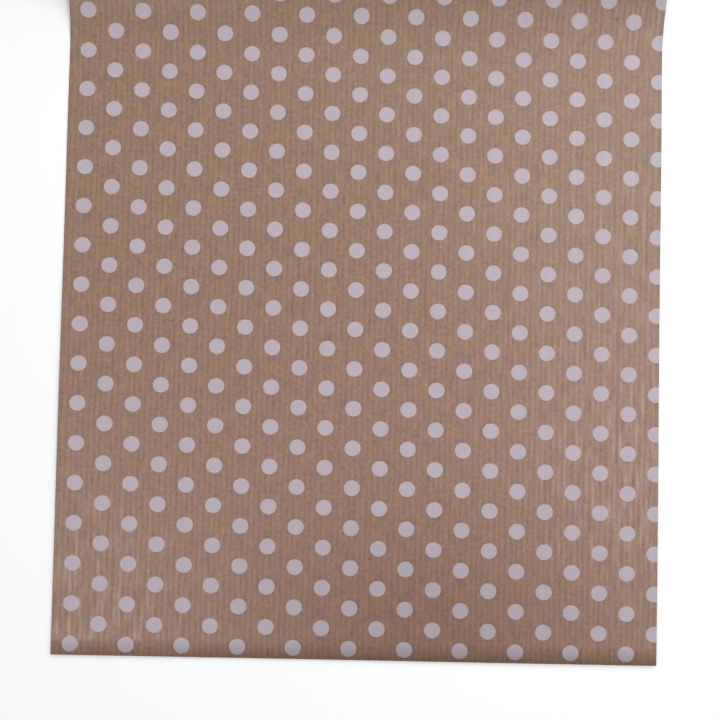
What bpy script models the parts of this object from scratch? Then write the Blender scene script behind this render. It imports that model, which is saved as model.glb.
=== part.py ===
"""Wrapping paper roll, partly unrolled on a floor.

The roll's axis runs along X. The printed web leaves the top of the roll, runs down to the floor and lies
flat towards -Y, print up. The cardboard core is three spiral strips, one inside the other, and one strip
of tape holds the first turn of paper to it. The origin is on the floor, under the middle of the whole.
"""

import math

import bmesh
import bpy

# Driving dimensions: metres and degrees.
ROLL_WIDTH = 0.305  # the web's width, and the core's length
ROLL_RADIUS = 0.02566  # the wound paper
CALIPER = 0.00012  # one thickness of paper
LAID_LENGTH = 0.3085  # the flat part, from the foot of the free span to the cut end
LEAVE_ANGLE = 35.0  # where the web leaves the roll, forward of its top
LAP_ANGLE = 100.0  # how far the outer lap is drawn, back from the roll's top
FOOT_RADIUS = 0.060  # the bend where the free span comes down onto the floor
CORE_BORE = 0.030  # diameter of the hole through the core
PLY_THICKNESS = 0.0004
PLY_ADVANCE = 0.114  # how far each core strip moves along in one turn
SEAM_GAP = 0.0004  # between the edges of one strip, from turn to turn
TAPE_WIDTH = 0.019  # measured round the core
TAPE_LENGTH = 0.250
TAPE_THICKNESS = 0.00015
CLEARANCE = 0.0003  # between any two neighbouring pieces

# How finely round shapes are faceted.
ROLL_STEPS = 96
CORE_STEPS = 32
FOOT_STEPS = 12
OVERCUT = 0.0002  # how far a cutter runs past the wall it cuts

# Worked out from the sizes above.
LAP_INNER = ROLL_RADIUS + CLEARANCE
LAP_OUTER = LAP_INNER + CALIPER
PLY_PITCH = PLY_THICKNESS + CLEARANCE
CORE_RADIUS = CORE_BORE / 2 + 3 * PLY_PITCH - CLEARANCE
PACK_BORE = CORE_RADIUS + CLEARANCE
TAPE_RADIUS = CORE_RADIUS + CLEARANCE
RECESS_RADIUS = TAPE_RADIUS + TAPE_THICKNESS + CLEARANCE

LEAVE = math.radians(LEAVE_ANGLE)
AXIS_Z = ROLL_RADIUS  # the roll stands on the floor
FOOT_DROP = FOOT_RADIUS * (1 - math.cos(LEAVE))
SPAN_DROP = AXIS_Z + LAP_INNER * math.cos(LEAVE) - FOOT_DROP
SPAN_RUN = SPAN_DROP / math.tan(LEAVE)
LEAD_RUN = LAP_INNER * math.sin(LEAVE) + SPAN_RUN + FOOT_RADIUS * math.sin(LEAVE)
WHOLE_LENGTH = LAP_OUTER + LEAD_RUN + CLEARANCE + LAID_LENGTH
AXIS_Y = WHOLE_LENGTH / 2 - LAP_OUTER

KRAFT = (0.319, 0.205, 0.150, 1.0)
KRAFT_EDGE = (0.360, 0.240, 0.175, 1.0)
BOARD_INNER = (0.300, 0.225, 0.155, 1.0)
BOARD_MIDDLE = (0.250, 0.195, 0.145, 1.0)
BOARD_OUTER = (0.340, 0.260, 0.180, 1.0)
TAPE_CREAM = (0.640, 0.560, 0.400, 1.0)


def new_collection(name):
    made = bpy.data.collections.new(name)
    bpy.context.scene.collection.children.link(made)
    return made


def clear_scene():
    for obj in list(bpy.data.objects):
        bpy.data.objects.remove(obj, do_unlink=True)


def material(name, colour, roughness):
    made = bpy.data.materials.new(name)
    made.use_nodes = True
    shader = made.node_tree.nodes["Principled BSDF"]
    shader.inputs["Base Color"].default_value = colour
    shader.inputs["Roughness"].default_value = roughness
    shader.inputs["Metallic"].default_value = 0.0
    return made


def add_object(name, mesh, collection, parent=None):
    made = bpy.data.objects.new(name, mesh)
    collection.objects.link(made)
    made.parent = parent
    return made


def add_frame(name, collection, location=(0, 0, 0), rotation=(0, 0, 0), parent=None):
    """An empty that places the pieces of one moving body."""
    made = add_object(name, None, collection, parent)
    made.location = location
    made.rotation_euler = rotation
    return made


def cut(piece, cutter):
    cutter.hide_render = True
    cutter.display_type = "WIRE"
    boolean = piece.modifiers.new(f"cut by {cutter.name}", "BOOLEAN")
    boolean.operation = "DIFFERENCE"
    boolean.solver = "EXACT"
    boolean.object = cutter


def solidify(piece, thickness, offset):
    shell = piece.modifiers.new("thickness", "SOLIDIFY")
    shell.thickness = thickness
    shell.offset = offset
    shell.use_even_offset = True


def screw(piece, steps, advance=0.0, turns=1):
    """Turns the piece's edges round its own Z axis, moving along it by advance in each turn."""
    turned = piece.modifiers.new("turning", "SCREW")
    turned.axis = "Z"
    turned.angle = 2 * math.pi
    turned.screw_offset = advance
    turned.iterations = turns
    turned.steps = steps
    turned.render_steps = steps
    turned.use_merge_vertices = advance == 0.0
    turned.merge_threshold = 0.00001


def profile_mesh(name, points, closed):
    """A chain of edges through the points, in order."""
    edges = [(i, i + 1) for i in range(len(points) - 1)]
    if closed:
        edges.append((len(points) - 1, 0))
    mesh = bpy.data.meshes.new(name)
    mesh.from_pydata(points, edges, [])
    return mesh


def swept_sheet(name, points, sweep):
    """The open surface that a chain of edges makes when it is moved along the vector sweep."""
    mesh = profile_mesh(name, points, closed=False)
    bm = bmesh.new()
    bm.from_mesh(mesh)
    swept = bmesh.ops.extrude_edge_only(bm, edges=bm.edges[:])
    moved = [v for v in swept["geom"] if isinstance(v, bmesh.types.BMVert)]
    bmesh.ops.translate(bm, verts=moved, vec=sweep)
    bm.to_mesh(mesh)
    bm.free()
    return mesh


def arc_points(radius, first, last, steps, place):
    """Points on an arc: place turns a radius and an angle in radians into a point."""
    return [place(radius, first + (last - first) * i / steps) for i in range(steps + 1)]


def turned_tube(name, inner, outer, steps, collection, parent):
    """A tube as long as the roll, along its parent's Z axis."""
    half = ROLL_WIDTH / 2
    wall = [(outer, 0, half), (outer, 0, -half), (inner, 0, -half), (inner, 0, half)]
    tube = add_object(name, profile_mesh(name, wall, closed=True), collection, parent)
    screw(tube, steps)
    return tube


def curved_strip(name, radius, thickness, width, length, collection, parent):
    """A strip bent round the parent's Z axis: its inner face at radius, its width measured round it."""
    half_angle = width / radius / 2
    steps = max(4, math.ceil(ROLL_STEPS * half_angle / math.pi))
    points = arc_points(
        radius,
        -half_angle,
        half_angle,
        steps,
        lambda r, a: (r * math.cos(a), r * math.sin(a), -length / 2),
    )
    strip = add_object(name, swept_sheet(name, points, (0, 0, length)), collection, parent)
    solidify(strip, thickness, -1.0)
    return strip


def core_ply(number, name, colour, parts, cutters, roll):
    """One spiral strip of the core: a tube cut along a helix, so that its edges nearly meet."""
    inner = CORE_BORE / 2 + number * PLY_PITCH
    outer = inner + PLY_THICKNESS
    ply = turned_tube(name, inner, outer, CORE_STEPS, parts, roll)
    ply.data.materials.append(material(name, colour, 0.9))

    turns = math.ceil(ROLL_WIDTH / PLY_ADVANCE) + 2
    start = -turns * PLY_ADVANCE / 2
    across = [(inner - OVERCUT, 0, start), (outer + OVERCUT, 0, start)]
    seam = add_object(f"{name}_seam", profile_mesh(name, across, closed=False), cutters, roll)
    # The strips' seams are a third of a turn apart, half a facet off the tube's own edges.
    seam.rotation_euler.z = 2 * math.pi * (number / 3 + 0.5 / CORE_STEPS)
    screw(seam, CORE_STEPS, PLY_ADVANCE, turns)
    solidify(seam, SEAM_GAP, 0.0)
    cut(ply, seam)
    return ply


def starter_tape(parts, roll):
    tape = curved_strip(
        "starter_tape", TAPE_RADIUS, TAPE_THICKNESS, TAPE_WIDTH, TAPE_LENGTH, parts, roll
    )
    tape.data.materials.append(material("starter_tape", TAPE_CREAM, 0.4))
    return tape


def wound_paper(parts, cutters, roll):
    """The pack of turns: a thick tube, with room in its bore for the tape."""
    pack = turned_tube("wound_paper", PACK_BORE, ROLL_RADIUS, ROLL_STEPS, parts, roll)
    pack.data.materials.append(material("wound_paper", KRAFT_EDGE, 0.85))
    recess = curved_strip(
        "tape_recess",
        PACK_BORE - OVERCUT,
        RECESS_RADIUS - PACK_BORE + OVERCUT,
        TAPE_WIDTH + 2 * CLEARANCE,
        TAPE_LENGTH + 2 * CLEARANCE,
        cutters,
        roll,
    )
    cut(pack, recess)
    return pack


def lead_out(parts, travel):
    """The web from the back of the roll, over its top and down to the floor.

    Its underside, seen along X from the roll's axis, is an arc round the roll, a straight run at the leave
    angle, and an arc the other way that ends level on the floor.
    """
    lap_steps = math.ceil(ROLL_STEPS * (LEAVE_ANGLE + LAP_ANGLE) / 360)
    half = ROLL_WIDTH / 2
    lap = arc_points(
        LAP_INNER,
        -math.radians(LAP_ANGLE),
        LEAVE,
        lap_steps,
        lambda r, a: (-half, -r * math.sin(a), r * math.cos(a)),
    )
    foot = arc_points(
        FOOT_RADIUS,
        LEAVE,
        0.0,
        FOOT_STEPS,
        lambda r, a: (-half, -LEAD_RUN + r * math.sin(a), r * (1 - math.cos(a)) - AXIS_Z),
    )
    mesh = swept_sheet("lead_out", lap + foot, (ROLL_WIDTH, 0, 0))
    web = add_object("lead_out", mesh, parts, travel)
    web.data.materials.append(material("lead_out", KRAFT, 0.8))
    solidify(web, CALIPER, -1.0)
    return web


def laid_sheet(parts):
    """The flat part of the web, on the floor, from its cut end to the foot of the free span."""
    bpy.ops.mesh.primitive_cube_add(size=1)
    sheet = bpy.context.object
    sheet.name = sheet.data.name = "laid_sheet"
    for owner in list(sheet.users_collection):
        owner.objects.unlink(sheet)
    parts.objects.link(sheet)
    bm = bmesh.new()
    bm.from_mesh(sheet.data)
    bmesh.ops.scale(bm, verts=bm.verts, vec=(ROLL_WIDTH, LAID_LENGTH, CALIPER))
    bm.to_mesh(sheet.data)
    bm.free()
    sheet.location = (0, (LAID_LENGTH - WHOLE_LENGTH) / 2, CALIPER / 2)
    sheet.data.materials.append(material("laid_sheet", KRAFT, 0.8))
    return sheet


def main():
    clear_scene()
    parts = new_collection("wrapping_paper_roll")
    cutters = new_collection("cutters")

    travel = add_frame("roll_travel", parts, (0, AXIS_Y, AXIS_Z))
    # The roll's own frame: its Z axis is the axis that the roll turns on.
    roll = add_frame("roll_spin", parts, rotation=(0, math.pi / 2, 0), parent=travel)

    laid_sheet(parts)
    lead_out(parts, travel)
    wound_paper(parts, cutters, roll)
    starter_tape(parts, roll)
    plies = [
        ("core_inner_ply", BOARD_INNER),
        ("core_middle_ply", BOARD_MIDDLE),
        ("core_outer_ply", BOARD_OUTER),
    ]
    for number, (name, colour) in enumerate(plies):
        core_ply(number, name, colour, parts, cutters, roll)


main()
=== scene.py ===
"""Looks for the wrapping paper roll: the ribbed and dotted web, the wound turns and the spiral core."""

import math

import bmesh
import bpy
import numpy as np
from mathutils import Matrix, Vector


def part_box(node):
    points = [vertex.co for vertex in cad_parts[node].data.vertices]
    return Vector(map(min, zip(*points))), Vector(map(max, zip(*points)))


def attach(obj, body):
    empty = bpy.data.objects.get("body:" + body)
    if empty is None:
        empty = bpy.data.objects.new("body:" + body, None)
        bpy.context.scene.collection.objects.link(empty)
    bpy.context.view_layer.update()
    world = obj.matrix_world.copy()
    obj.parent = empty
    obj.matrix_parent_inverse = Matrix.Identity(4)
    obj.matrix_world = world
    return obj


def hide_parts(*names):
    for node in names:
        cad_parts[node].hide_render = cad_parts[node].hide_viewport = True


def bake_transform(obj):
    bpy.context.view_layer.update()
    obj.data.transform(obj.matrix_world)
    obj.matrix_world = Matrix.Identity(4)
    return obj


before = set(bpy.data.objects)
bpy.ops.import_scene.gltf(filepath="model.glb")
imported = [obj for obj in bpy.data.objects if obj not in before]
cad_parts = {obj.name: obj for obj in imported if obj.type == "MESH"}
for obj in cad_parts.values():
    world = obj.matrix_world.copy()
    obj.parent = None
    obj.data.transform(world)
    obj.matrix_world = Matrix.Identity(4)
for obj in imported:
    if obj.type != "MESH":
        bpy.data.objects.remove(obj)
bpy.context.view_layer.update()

# ---------------------------------------------------------------- places, from the frame
PACK_LOW, PACK_HIGH = (np.array(corner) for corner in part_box("wound_paper"))
SHEET_LOW, SHEET_HIGH = (np.array(corner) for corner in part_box("laid_sheet"))
CORE_LOW, _ = (np.array(corner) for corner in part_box("core_inner_ply"))

AXIS_Y = (PACK_LOW[1] + PACK_HIGH[1]) / 2
AXIS_Z = (PACK_LOW[2] + PACK_HIGH[2]) / 2
ROLL_RADIUS = (PACK_HIGH[2] - PACK_LOW[2]) / 2
HALF_WIDTH = PACK_HIGH[0]
CUT_END_Y = SHEET_LOW[1]
CALIPER = SHEET_HIGH[2] - SHEET_LOW[2]
CORE_BORE_RADIUS = AXIS_Z - CORE_LOW[2]

# ---------------------------------------------------------------- the web's own sizes, in metres
LEAVE = math.radians(35)  # where the web leaves the roll, forward of its top
FOOT_RADIUS = 0.060  # the bend that brings it level with the floor
NIP = math.radians(372)  # how far round the roll the outer lap is followed, from where it leaves
TURN_DROP = CALIPER + 0.00004  # how much nearer the axis the web is after one whole turn

RIBS = 108  # ribs across the width
RIB_PITCH = 2 * HALF_WIDTH / RIBS
RIB_HEIGHT = 0.000035  # from trough to crest
RIB_WANDER = 0.0009  # how far a rib's colour strays to either side
POINTS_PER_RIB = 4
WAVE_HEIGHT = 0.00030  # of the laid paper's long soft waves
CURL_HEIGHT = 0.00018  # of its cut end

DOT_PITCH = 0.0280  # across the web, centre to centre
DOTS_ROUND = 8  # print repeats in one turn of the roll
DOT_PERIOD = 2 * math.pi * ROLL_RADIUS / DOTS_ROUND  # along the web
DOT_ACROSS = 0.00409  # half the dot's width
DOT_ALONG = 0.00394  # half its length
DOT_X = -0.0030  # one dot's centre
DOT_Y = -0.07125

# ---------------------------------------------------------------- the pack and the core
PACK_CLEARANCE = 0.00005  # between the outer lap's hidden end and the turns below it
PACK_BORE = 0.01732  # radius of the innermost turn, clear of the tape
BUNCH_DEPTH = 0.00014  # how far a bunch of a few turns stands in from the roll's end
DRIFT_DEPTH = 0.00040  # and how far many turns together do
CORE_PLIES = ("core_inner_ply", "core_middle_ply", "core_outer_ply")
PLY_ADVANCE = 0.114  # how far a strip moves along the core in one turn
PLY_SEAM = 0.0005  # between the edges of one strip, from turn to turn
PLY_PITCH = 0.0007  # from one strip's inner face to the next one's
PLY_THICKNESS = 0.00066

FLOOR_SIZE = 60
FLOOR_DROP = 0.0002  # how far the floor lies under the paper

# ---------------------------------------------------------------- how finely each surface is divided
FLAT_ROWS = 36
FOOT_ROWS = 12
SPAN_ROWS = 4
LAP_ROWS = 58
EDGE_ROWS = 66
WALL_ROWS = 7
BORE_ROWS = 3
EDGE_COLUMNS = 192
PLY_ROWS = 420
PLY_POINTS = 6


# ================================================================ surfaces
def grid_quads(rows, columns, close_rows=False, close_columns=False):
    """The four corner numbers of every cell of a grid of points, row by row."""
    down = np.arange(rows if close_rows else rows - 1)
    right = np.arange(columns if close_columns else columns - 1)
    i, j = np.meshgrid(down, right, indexing="ij")
    below, beside = (i + 1) % rows, (j + 1) % columns
    corners = (i * columns + j, below * columns + j, below * columns + beside, i * columns + beside)
    return np.stack(corners, axis=-1).reshape(-1, 4)


def add_surface(name, points, finishes, close_rows=False, close_columns=False, flip=False):
    """A smooth mesh object from a grid of points, its place held in its mesh."""
    rows, columns = points.shape[:2]
    quads = grid_quads(rows, columns, close_rows, close_columns)
    if flip:
        quads = quads[:, ::-1]
    mesh = bpy.data.meshes.new(name)
    mesh.vertices.add(rows * columns)
    mesh.vertices.foreach_set("co", points.reshape(-1).astype(np.float32))
    mesh.loops.add(quads.size)
    mesh.loops.foreach_set("vertex_index", quads.reshape(-1).astype(np.int32))
    mesh.polygons.add(len(quads))
    mesh.polygons.foreach_set("loop_start", np.arange(0, quads.size, 4, dtype=np.int32))
    mesh.update(calc_edges=True)
    mesh.shade_smooth()
    for finish in finishes:
        mesh.materials.append(finish)
    piece = bpy.data.objects.new(name, mesh)
    bpy.context.scene.collection.objects.link(piece)
    return piece


def store(piece, name, values):
    """Keeps one number for each point of the piece, for its material to read."""
    attribute = piece.data.attributes.new(name, "FLOAT", "POINT")
    attribute.data.foreach_set("value", values.reshape(-1).astype(np.float32))


def steady_noise(turns, seed, waves=7):
    """A smooth wandering line between about -1 and 1: a sum of sines at unlike rates, set by a seed."""
    rng = np.random.default_rng(seed)
    rates = rng.uniform(0.3, 2.6, waves)
    phases = rng.uniform(0, 2 * np.pi, waves)
    sizes = 1 / (0.6 + rates)
    lines = [size * np.sin(rate * turns + phase) for rate, phase, size in zip(rates, phases, sizes)]
    return sum(lines) / sizes.sum()


# ================================================================ shader maths
class Sock:
    """One output socket in a material's nodes. Sums and products of these add Math nodes."""

    def __init__(self, tree, out):
        self.tree = tree
        self.out = out

    def node(self, kind, settings, inputs, output=0):
        """Adds a node: its settings first, then the values or links of its sockets."""
        made = self.tree.nodes.new(kind)
        for name, value in settings.items():
            setattr(made, name, value)
        for name, value in inputs.items():
            if isinstance(value, Sock):
                self.tree.links.new(value.out, made.inputs[name])
            else:
                made.inputs[name].default_value = value
        return Sock(self.tree, made.outputs[output])

    def maths(self, operation, *values):
        return self.node("ShaderNodeMath", {"operation": operation}, dict(enumerate(values)))

    def __add__(self, other):
        return self.maths("ADD", self, other)

    def __radd__(self, other):
        return self.maths("ADD", other, self)

    def __sub__(self, other):
        return self.maths("SUBTRACT", self, other)

    def __rsub__(self, other):
        return self.maths("SUBTRACT", other, self)

    def __mul__(self, other):
        return self.maths("MULTIPLY", self, other)

    def __rmul__(self, other):
        return self.maths("MULTIPLY", other, self)

    def __truediv__(self, other):
        return self.maths("DIVIDE", self, other)

    def __rtruediv__(self, other):
        return self.maths("DIVIDE", other, self)

    def parts(self):
        """The x, y and z of a vector."""
        outputs = self.node("ShaderNodeSeparateXYZ", {}, {0: self}).out.node.outputs
        return [Sock(self.tree, out) for out in outputs]

    def vector(self, x, y, z):
        return self.node("ShaderNodeCombineXYZ", {}, {0: x, 1: y, 2: z})

    def noise(self, scale, detail=2.0, roughness=0.5, stretch=(1, 1, 1)):
        """A cloudy value from 0 to 1 at this place: scale is in clouds to the metre."""
        place = self.node(
            "ShaderNodeVectorMath", {"operation": "MULTIPLY"}, {0: self, 1: stretch}
        )
        made = {"Vector": place, "Scale": scale, "Detail": detail, "Roughness": roughness}
        return self.node("ShaderNodeTexNoise", {}, made)

    def fade(self, low, high, at_low=0.0, at_high=1.0):
        """Runs smoothly from at_low, where this is low, to at_high, where it is high."""
        settings = {"interpolation_type": "SMOOTHSTEP"}
        return self.node(
            "ShaderNodeMapRange", settings, {0: self, 1: low, 2: high, 3: at_low, 4: at_high}
        )

    def mix(self, first, second):
        """Goes from the first colour to the second as this goes from 0 to 1."""
        return self.node(
            "ShaderNodeMix", {"data_type": "RGBA"}, {0: self, 6: first, 7: second}, output=2
        )

    def tint(self, other, share):
        """This colour multiplied by another, wholly where share is 1 and not at all where it is 0."""
        settings = {"data_type": "RGBA", "blend_type": "MULTIPLY"}
        return self.node("ShaderNodeMix", settings, {0: share, 6: self, 7: other}, output=2)

    def shade(self, brightness):
        """This colour made brighter or darker by a value."""
        return self.node(
            "ShaderNodeVectorMath", {"operation": "SCALE"}, {0: self, "Scale": brightness}
        )


def new_finish(name, roughness, specular=0.5):
    """A new material: the socket of its Object coordinates, its shader node, and itself."""
    made = bpy.data.materials.new(name)
    made.use_nodes = True
    tree = made.node_tree
    shader = tree.nodes["Principled BSDF"]
    shader.inputs["Roughness"].default_value = roughness
    shader.inputs["Specular IOR Level"].default_value = specular
    place = Sock(tree, shader.outputs[0]).node("ShaderNodeTexCoord", {}, {}, "Object")
    return place, shader, made


def feed(shader, name, value):
    """Joins a value that changes over the surface to one of the shader's sockets."""
    value.tree.links.new(value.out, shader.inputs[name])


def add_bump(shader, height, distance):
    """height, from 0 to 1, stands for distance metres."""
    feed(shader, "Normal", height.node("ShaderNodeBump", {}, {"Height": height, "Distance": distance}))


def kept_value(place, name):
    """The value that store() kept on the piece."""
    return place.node("ShaderNodeAttribute", {"attribute_name": name}, {}, "Fac")


# ================================================================ finishes
KRAFT_WARM = (0.267, 0.157, 0.097, 1.0)
KRAFT_COOL = (0.258, 0.147, 0.109, 1.0)
PRESSED_RIM = (0.216, 0.149, 0.130, 1.0)  # the paper just round a dot, which the print has pressed
INK = (0.395, 0.371, 0.434, 1.0)
INK_RIM = (0.442, 0.361, 0.366, 1.0)
FLECK = (0.120, 0.075, 0.050, 1.0)
EDGE_PALE = (0.300, 0.208, 0.145, 1.0)
EDGE_DEEP = (0.232, 0.156, 0.108, 1.0)
TAPE_PALE = (0.68, 0.59, 0.42, 1.0)
TAPE_DEEP = (0.60, 0.50, 0.33, 1.0)
FLOOR_PALE = (0.94, 0.94, 0.94, 1.0)
FLOOR_DEEP = (0.90, 0.90, 0.90, 1.0)
HAIR = (0.56, 0.50, 0.42, 1.0)  # the core board's pale hairs
BOARD_COLOURS = (  # each strip's light and dark, from the bore outwards
    ((0.330, 0.270, 0.200, 1.0), (0.250, 0.200, 0.145, 1.0)),
    ((0.270, 0.225, 0.175, 1.0), (0.200, 0.165, 0.125, 1.0)),
    ((0.360, 0.290, 0.205, 1.0), (0.280, 0.215, 0.150, 1.0)),
)

FLECK_CELL = 0.016  # the paper holds at most one fleck in each cell of this size
FLECK_SHARE = 0.06  # and only this share of the cells holds one
FLECK_RADIUS = 0.00055
FLECK_SHAKE = 0.0008  # how far a fleck's outline is shaken out of round

PAINTED_SHADE_PLACE = (0.036, -0.207)  # painted shade: round this place by the cut end, the paper and print are painted a little darker and the paper a little redder
PAINTED_SHADE_SIZE = (0.100, 0.058)
PAINTED_SHADE_PAPER = (0.785, 0.710, 0.690, 1.0)
PAINTED_SHADE_INK = (0.810, 0.810, 0.810, 1.0)
PAINTED_LIGHT_FROM, PAINTED_LIGHT_TO = -0.09, 0.03  # painted light: between these places on the web the paper is tinted a little yellower, towards the roll
PAINTED_LIGHT_PAPER = (0.985, 1.030, 0.990, 1.0)


def kraft_fibres(place, web):
    """Kraft paper at a place on the web: its colour, its brightness and its fibres' height.

    Two clouds of unlike size make the mottle, a third drawn out along the web makes short streaks, and a
    fourth turns the hue a little from warm to cool.
    """
    mottle = web.noise(540, detail=3.0, roughness=0.58)
    cloud = web.noise(140, detail=2.0)
    streak = web.noise(330, detail=2.0, stretch=(1.0, 0.40, 1.0))
    hue = web.noise(230, detail=2.0, stretch=(1.0, 0.5, 1.0))
    colour = hue.fade(0.3, 0.7).mix(KRAFT_WARM, KRAFT_COOL)
    light = 0.35 + mottle * 0.74 + cloud * 0.20 + streak * 0.36
    return colour, light, mottle


def rib_wave(x, web):
    """A cosine across the web, 1 on the crest of a rib and -1 in its trough.

    Each rib wanders a little to either side along its length, and is stronger in some places than others.
    """
    wander = (web.noise(120, detail=1.0, stretch=(1.0, 0.4, 1.0)) - 0.5) * (2 * RIB_WANDER)
    strength = web.noise(300, detail=1.0, stretch=(1.0, 0.35, 1.0)).fade(0.25, 0.75, 0.25, 1.60)
    return x.maths("COSINE", (x + wander) * (2 * math.pi / RIB_PITCH)) * strength


def flecks(web):
    """1 on the few dark specks of bark, else 0.

    The web is divided into cells with a point in each. A fleck is where the place is near its cell's point,
    and the cell's own random number is low.
    """
    shaken = web.node("ShaderNodeTexNoise", {}, {"Vector": web, "Scale": 1200.0, "Detail": 0.0}, "Color")
    bent = web.node(
        "ShaderNodeVectorMath",
        {"operation": "MULTIPLY_ADD"},
        {0: shaken, 1: (FLECK_SHAKE, FLECK_SHAKE, 0.0), 2: web},
    )
    sizes = {"Vector": bent, "Scale": 1 / FLECK_CELL}
    plane = {"voronoi_dimensions": "2D"}
    distance = web.node("ShaderNodeTexVoronoi", plane, sizes, "Distance")
    chance, size, _ = web.node("ShaderNodeTexVoronoi", plane, sizes, "Color").parts()
    reach = (size + 0.4) * (FLECK_RADIUS / FLECK_CELL)
    return (distance / reach).fade(0.6, 1.2, 1.0, 0.0) * chance.maths("LESS_THAN", chance, FLECK_SHARE)


def dot_distance(x, along):
    """How far the nearest printed dot's centre is, in dot radii.

    The print is two square lattices, the second half a pitch across and half a period along from the
    first. In each, the place is taken from the nearest lattice point, and the two distances' lesser wins.
    """

    def from_nearest(value, pitch, radius):
        steps = value / pitch
        return (steps - steps.maths("ROUND", steps)) * (pitch / radius)

    def distance(shift):
        across = from_nearest(x - (DOT_X + shift * DOT_PITCH), DOT_PITCH, DOT_ACROSS)
        down = from_nearest(along - (DOT_Y + shift * DOT_PERIOD), DOT_PERIOD, DOT_ALONG)
        return x.maths("SQRT", across * across + down * down)

    return x.maths("MINIMUM", distance(0.0), distance(0.5))


def web_places(place):
    """The place's x, how far along the web it is, and both as a vector that follows the paper."""
    x, y, _ = place.parts()
    along = y + kept_value(place, "slack")
    return x, along, place.vector(x, along, 0.0)


def painted_shade_bell(x, along):
    """The share of the painted shade by the cut end: a bell, 1 at PAINTED_SHADE_PLACE, e to the minus the
    squared distance, counted in PAINTED_SHADE_SIZE.
    """
    across = (x - PAINTED_SHADE_PLACE[0]) / PAINTED_SHADE_SIZE[0]
    down = (along - PAINTED_SHADE_PLACE[1]) / PAINTED_SHADE_SIZE[1]
    return x.maths("EXPONENT", (across * across + down * down) * -1.0)


def printed_kraft():
    """The print side: ribbed kraft glazed in streaks, with matt pale ink dots and a few dark flecks.

    The ink lies where the distance to a dot's centre, shaken a little by noise, is less than 1. Just
    outside that the paper takes PRESSED_RIM. The glaze is a streaked noise that lowers the roughness.
    """
    place, shader, made = new_finish("printed_kraft", 0.5, 0.5)
    x, along, web = web_places(place)
    fibres, light, mottle = kraft_fibres(place, web)
    rib = rib_wave(x, web)

    speckle = web.noise(1500, detail=2.0)
    nicks = (speckle - 0.5) * 0.10 + (web.noise(500, detail=0.0) - 0.5) * 0.07
    distance = dot_distance(x, along) + nicks
    ink = distance.fade(0.97, 1.04, 1.0, 0.0)

    pressed = distance.fade(1.0, 1.35, 0.9, 0.0).mix(fibres, PRESSED_RIM)
    paper = (flecks(web) * 0.8).mix(pressed, FLECK).shade(light + rib * 0.085)
    # painted light: the paper is tinted a little yellower towards the roll
    # painted shade: round the cut end the paper is made a little darker and redder
    paper = paper.tint(PAINTED_LIGHT_PAPER, along.fade(PAINTED_LIGHT_FROM, PAINTED_LIGHT_TO)).tint(PAINTED_SHADE_PAPER, painted_shade_bell(x, along))
    body = distance.fade(0.15, 0.95).mix(INK, INK_RIM)
    # painted shade: round the cut end the print is made a little darker too
    inked = body.shade(0.80 + mottle * 0.06 + speckle * 0.34).tint(PAINTED_SHADE_INK, painted_shade_bell(x, along))
    feed(shader, "Base Color", ink.mix(paper, inked))

    glaze = web.noise(330, detail=2.0, stretch=(1.0, 0.18, 1.0)).fade(0.3, 0.7, 0.50, 0.24)
    feed(shader, "Roughness", glaze + mottle * 0.06 - rib * 0.03 + ink * 0.25)
    add_bump(shader, mottle * 0.6 + ink * 0.5 + rib * 0.25 * (1.0 - ink), 0.00003)
    return made


def plain_kraft():
    """The unprinted side: the same fibres, drier and without a glaze."""
    place, shader, made = new_finish("plain_kraft", 0.82, 0.3)
    x, along, web = web_places(place)
    fibres, light, mottle = kraft_fibres(place, web)
    feed(shader, "Base Color", fibres.shade(light + rib_wave(x, web) * 0.03))
    add_bump(shader, mottle, 0.00004)
    return made


def turn_edges():
    """The cut edges of the wound turns, which run in spirals.

    Each turn is a fine line. Bunches of a few turns lie tighter or looser; painted shade makes the
    loose ones darker, and darkens the gap that a loose bunch shows.
    """
    place, shader, made = new_finish("turn_edges", 0.85, 0.3)
    turn = kept_value(place, "turn")

    def bunches(rate):
        """A value that wanders from 0 to 1, rate times to the turn."""
        settings = {"noise_dimensions": "1D"}
        return place.node("ShaderNodeTexNoise", settings, {"W": turn, "Scale": rate, "Detail": 1.0})

    line = turn.maths("PINGPONG", turn, 0.5) * 2.0
    bunch = bunches(0.26)
    gap = bunches(0.42).fade(0.60, 0.66)
    grain = place.noise(2600, detail=3.0, roughness=0.7)
    colour = bunches(0.10).fade(0.35, 0.65).mix(EDGE_PALE, EDGE_DEEP)
    # painted shade: loose bunches and their gaps are darkened in the colour
    light = 0.57 + line * 0.18 + bunch.fade(0.3, 0.7) * 0.34 + grain * 0.50 - gap * 0.30
    feed(shader, "Base Color", colour.shade(light))
    add_bump(shader, line * 0.4 + bunch - gap * 0.8 + grain * 0.4, 0.00010)
    return made


def core_board(name, light, dark):
    """Grey-brown board of mixed fibres: pale and dark hairs on a clouded ground."""
    place, shader, made = new_finish(name, 0.88, 0.25)
    ground = place.noise(260, detail=4.0, roughness=0.65)
    hairs = place.noise(1100, detail=2.0, stretch=(0.35, 1.0, 1.0))
    pale = place.noise(520, detail=1.0, stretch=(0.5, 1.0, 1.0)).fade(0.66, 0.72)
    colour = ground.fade(0.3, 0.7).mix(dark, light)
    colour = (pale * 0.45).mix(colour, HAIR)
    feed(shader, "Base Color", colour.shade(0.78 + hairs * 0.44))
    add_bump(shader, ground * 0.5 + hairs, 0.00006)
    return made


def paper_tape():
    """Creped masking tape: fine wrinkles across its length, with painted shade in their hollows."""
    place, shader, made = new_finish("paper_tape", 0.55, 0.4)
    crepe = place.noise(2200, detail=2.0, stretch=(1.0, 0.2, 0.2))
    cloud = place.noise(300, detail=2.0)
    colour = cloud.fade(0.3, 0.7).mix(TAPE_DEEP, TAPE_PALE)
    # painted shade: the colour is darker where the crepe is low
    feed(shader, "Base Color", colour.shade(0.85 + crepe * 0.3))
    add_bump(shader, crepe, 0.00005)
    return made


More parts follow.
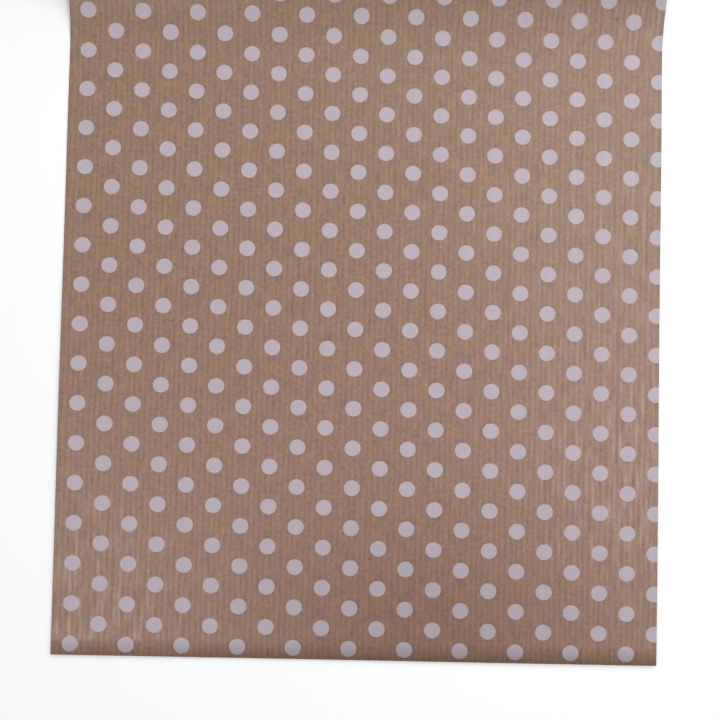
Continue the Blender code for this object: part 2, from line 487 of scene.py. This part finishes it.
def pale_floor():
    """A plain pale floor, clouded so faintly that it looks even."""
    place, shader, made = new_finish("pale_floor", 0.9, 0.2)
    cloud = place.noise(3.0, detail=2.0)
    feed(shader, "Base Color", cloud.mix(FLOOR_DEEP, FLOOR_PALE))
    return made


# ================================================================ the web
def web_path():
    """The print side of the web, seen along X, from the cut end to the nip under the free span.

    It is four stretches: level along the floor; an arc of FOOT_RADIUS that turns it up to the leave
    angle; a straight run that touches the roll; and a spiral round the roll, over its top, down its back,
    under it and up to just below where it left, whose radius falls by TURN_DROP in a turn. Gives y, z, the
    way across the paper (its y and its z), the length along the web, which is y at the foot, and the foot.
    """
    level = CALIPER + RIB_HEIGHT
    span_drop = AXIS_Z + ROLL_RADIUS * math.cos(LEAVE) - level - FOOT_RADIUS * (1 - math.cos(LEAVE))
    span_run = span_drop / math.tan(LEAVE)
    foot_y = AXIS_Y - ROLL_RADIUS * math.sin(LEAVE) - span_run - FOOT_RADIUS * math.sin(LEAVE)

    flat = np.linspace(CUT_END_Y, foot_y, FLAT_ROWS)
    flat = np.stack([flat, np.full_like(flat, level), 0 * flat], axis=1)

    turn = np.linspace(0, LEAVE, FOOT_ROWS + 1)[1:]
    foot = np.stack(
        [foot_y + FOOT_RADIUS * np.sin(turn), level + FOOT_RADIUS * (1 - np.cos(turn)), turn],
        axis=1,
    )

    share = np.linspace(0, 1, SPAN_ROWS + 1)[1:]
    span = np.stack(
        [foot[-1, 0] + share * span_run, foot[-1, 1] + share * span_drop, LEAVE + 0 * share], axis=1
    )

    round_by = np.linspace(0, NIP, LAP_ROWS + 1)[1:]
    radius = ROLL_RADIUS - TURN_DROP * round_by / (2 * np.pi)
    angle = LEAVE - round_by
    wrap = np.stack(
        [AXIS_Y - radius * np.sin(angle), AXIS_Z + radius * np.cos(angle), angle], axis=1
    )

    path = np.concatenate([flat, foot, span, wrap])
    y, z, slope = path.T
    steps = np.hypot(np.diff(y), np.diff(z))
    along = np.concatenate([[0], np.cumsum(steps)])
    along = along - along[FLAT_ROWS - 1] + foot_y
    return y, z, -np.sin(slope), np.cos(slope), along, foot_y


def sheet_lift(x, y, foot_y):
    """How far the laid paper stands off the floor: long soft waves, and a slight curl at the cut end."""
    inside = np.clip((foot_y - y) / 0.05, 0, 1)
    waves = np.sin(23 * x + 9 * y + 0.7) + 0.7 * np.sin(-15 * x + 31 * y + 2.1)
    curl = np.exp(-((y - CUT_END_Y) / 0.012)) * (0.6 + 0.4 * np.sin(30 * x + 1.0))
    return inside * (WAVE_HEIGHT * (waves + 1.7) + CURL_HEIGHT * curl)


def add_web():
    """The printed web as one sheet: the path across the whole width, with the ribs standing on it.

    A rib's height is a cosine of x. Each rib's share of it wanders a little across and along the web.
    """
    y, z, across_y, across_z, along, foot_y = web_path()
    x = np.linspace(-HALF_WIDTH, HALF_WIDTH, RIBS * POINTS_PER_RIB + 1)
    grid_x, grid_y = np.meshgrid(x, y)
    uneven = 0.75 + 0.25 * np.sin(211 * grid_x + 1.3) * np.cos(37 * grid_x + 9 * along[:, None])
    rib = RIB_HEIGHT / 2 * (np.cos(2 * np.pi * grid_x / RIB_PITCH) - 1) * uneven
    rise = rib + sheet_lift(grid_x, grid_y, foot_y)
    points = np.stack(
        [grid_x, grid_y + across_y[:, None] * rise, z[:, None] + across_z[:, None] * rise], axis=-1
    )
    web = add_surface("paper_web", points, [printed_kraft(), plain_kraft()], flip=True)
    store(web, "slack", (along - y)[:, None] + 0 * grid_x)

    sheet = web.modifiers.new("paper thickness", "SOLIDIFY")
    sheet.thickness = CALIPER
    sheet.offset = -1.0
    sheet.material_offset = 1
    sheet.material_offset_rim = 1

    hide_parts("laid_sheet", "lead_out")
    foot_y - 0.002
    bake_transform(web)
    float(along[-1] - along[0])
    return web


# ================================================================ the wound turns
def add_pack():
    """The turns of paper under the outer lap: a tube whose ends show every turn's edge.

    Its wall is followed as one closed line: out across the left end, along the outside, in across the
    right end and back through the bore. On the ends, x goes in by a wandering depth that depends on the
    turn, which is the radius in calipers less the share of the circle gone round, so the marks are spirals.
    """
    outside = ROLL_RADIUS - CALIPER - TURN_DROP - PACK_CLEARANCE
    out = np.linspace(PACK_BORE, outside, EDGE_ROWS)
    wall = np.linspace(-1, 1, WALL_ROWS + 2)[1:-1]
    bore = np.linspace(1, -1, BORE_ROWS + 2)[1:-1]
    end = np.ones(EDGE_ROWS)
    radius = np.concatenate([out, np.full(WALL_ROWS, outside), out[::-1], np.full(BORE_ROWS, PACK_BORE)])
    side = np.concatenate([-end, wall, end, bore])
    on_end = np.concatenate([end, 0 * wall, end, 0 * bore])

    circle = 2 * np.pi * np.arange(EDGE_COLUMNS) / EDGE_COLUMNS
    turn = (radius[:, None] - PACK_BORE) / CALIPER + circle[None, :] / (2 * np.pi)
    bunch = 0.5 + 0.5 * steady_noise(turn * 1.1, seed=4)
    drift = 0.5 + 0.5 * steady_noise(turn * 0.22 + 3, seed=9)
    depth = on_end[:, None] * (BUNCH_DEPTH * bunch + DRIFT_DEPTH * drift)
    x = side[:, None] * (HALF_WIDTH - depth)
    y = AXIS_Y + radius[:, None] * np.sin(circle)[None, :]
    z = AXIS_Z + radius[:, None] * np.cos(circle)[None, :]
    points = np.stack([x + 0 * y, y, z], axis=-1)
    pack = add_surface("wound_turns", points, [turn_edges()], close_rows=True, close_columns=True)
    store(pack, "turn", turn)
    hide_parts("wound_paper")
    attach(pack, "roll")
    return pack


# ================================================================ the core
def add_ply(number, name, finish):
    """One spiral strip of the core.

    Laid flat, the strip is a band that moves PLY_ADVANCE along X in one turn and is as wide as that less
    the seam, cut square at both ends of the roll. Each row of the grid is one place along the band: its
    section, out along the outer face and back along the inner one.
    """
    inner = CORE_BORE_RADIUS + number * PLY_PITCH
    outer = inner + PLY_THICKNESS
    start = -HALF_WIDTH
    turns = 2 * HALF_WIDTH / PLY_ADVANCE + 1
    bend = np.linspace(0, 2 * np.pi * turns, PLY_ROWS)
    high = start + PLY_ADVANCE * bend / (2 * np.pi)
    low = high - PLY_ADVANCE + PLY_SEAM
    high, low = np.clip(high, start, -start), np.clip(low, start, -start)
    share = np.linspace(0, 1, PLY_POINTS)
    over = low[:, None] + (high - low)[:, None] * share[None, :]
    x = np.concatenate([over, over[:, ::-1]], axis=1)
    radius = np.concatenate([np.full(PLY_POINTS, outer), np.full(PLY_POINTS, inner)])[None, :]
    angle = (bend + 2 * np.pi * number / 3)[:, None]
    points = np.stack(
        [x, AXIS_Y + radius * np.sin(angle), AXIS_Z + radius * np.cos(angle)], axis=-1
    )
    ply = add_surface(name.replace("ply", "board"), points, [finish], close_columns=True)
    bm = bmesh.new()
    bm.from_mesh(ply.data)
    bmesh.ops.remove_doubles(bm, verts=bm.verts, dist=1e-6)
    ends = bmesh.ops.holes_fill(bm, edges=bm.edges, sides=0)
    bmesh.ops.triangulate(bm, faces=ends["faces"])
    bmesh.ops.recalc_face_normals(bm, faces=bm.faces)
    bm.to_mesh(ply.data)
    bm.free()
    ply.data.set_sharp_from_angle(angle=math.radians(40))
    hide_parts(name)
    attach(ply, "roll")
    return ply


# ================================================================ floor, lights, camera
def add_floor():
    bpy.ops.mesh.primitive_plane_add(size=FLOOR_SIZE)
    floor = bpy.context.object
    floor.name = "floor"
    floor.location.z = -FLOOR_DROP
    floor.data.materials.append(pale_floor())


def add_light(name, place, aim, size, watts):
    """A soft square light at a place, facing a point."""
    lamp = bpy.data.lights.new(name, "AREA")
    lamp.shape = "SQUARE"
    lamp.size = size
    lamp.energy = watts
    light = bpy.data.objects.new(name, lamp)
    light.visible_camera = False
    bpy.context.scene.collection.objects.link(light)
    light.location = place
    away = np.array(place) - np.array(aim)
    light.rotation_euler = (
        math.atan2(math.hypot(away[0], away[1]), away[2]),
        0,
        math.atan2(away[0], -away[1]),
    )


def add_lights():
    world = bpy.data.worlds.new("studio")
    bpy.context.scene.world = world
    world.use_nodes = True
    sky = world.node_tree.nodes["Background"]
    sky.inputs["Color"].default_value = (0.98, 0.99, 1.0, 1.0)
    sky.inputs["Strength"].default_value = 0.60
    middle = (0, -0.05, 0)
    add_light("side_window", (0.641, 0.764, 0.465), middle, 0.5, 4.1)
    add_light("back_window", (0.135, 0.766, 0.778), middle, 0.5, 2.8)
    add_light("left_softbox", (-0.380, -0.420, 0.9), (-0.14, -0.20, 0), 0.3, 1.15)
    add_light("right_softbox", (0.460, -0.190, 0.9), (0.16, -0.12, 0), 0.3, 1.40)
    add_light("high_softbox", (0.422, 0.178, 0.9), (0.15, 0.01, 0), 0.3, 0.9)


def add_camera():
    """Nearly straight above the laid sheet, with its foot towards the bottom of the view."""
    lens = bpy.data.cameras.new("camera")
    lens.lens = 50
    lens.sensor_width = 36
    lens.clip_start = 0.01
    camera = bpy.data.objects.new("camera", lens)
    bpy.context.scene.collection.objects.link(camera)
    camera.location = (-0.0038, -0.0849, 0.5093)
    camera.rotation_euler = [math.radians(turn) for turn in (2.05, -0.45, 1.20)]
    bpy.context.scene.camera = camera


def dress_tape():
    """Gives the CAD node of the starter tape its finish."""
    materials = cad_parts["starter_tape"].data.materials
    materials.clear()
    materials.append(paper_tape())


def main():
    bpy.context.scene.view_settings.view_transform = "Standard"
    add_camera()
    add_lights()
    add_floor()
    add_web()
    add_pack()
    for number, (name, colours) in enumerate(zip(CORE_PLIES, BOARD_COLOURS)):
        add_ply(number, name, core_board(name.replace("ply", "board"), *colours))
    dress_tape()


main()
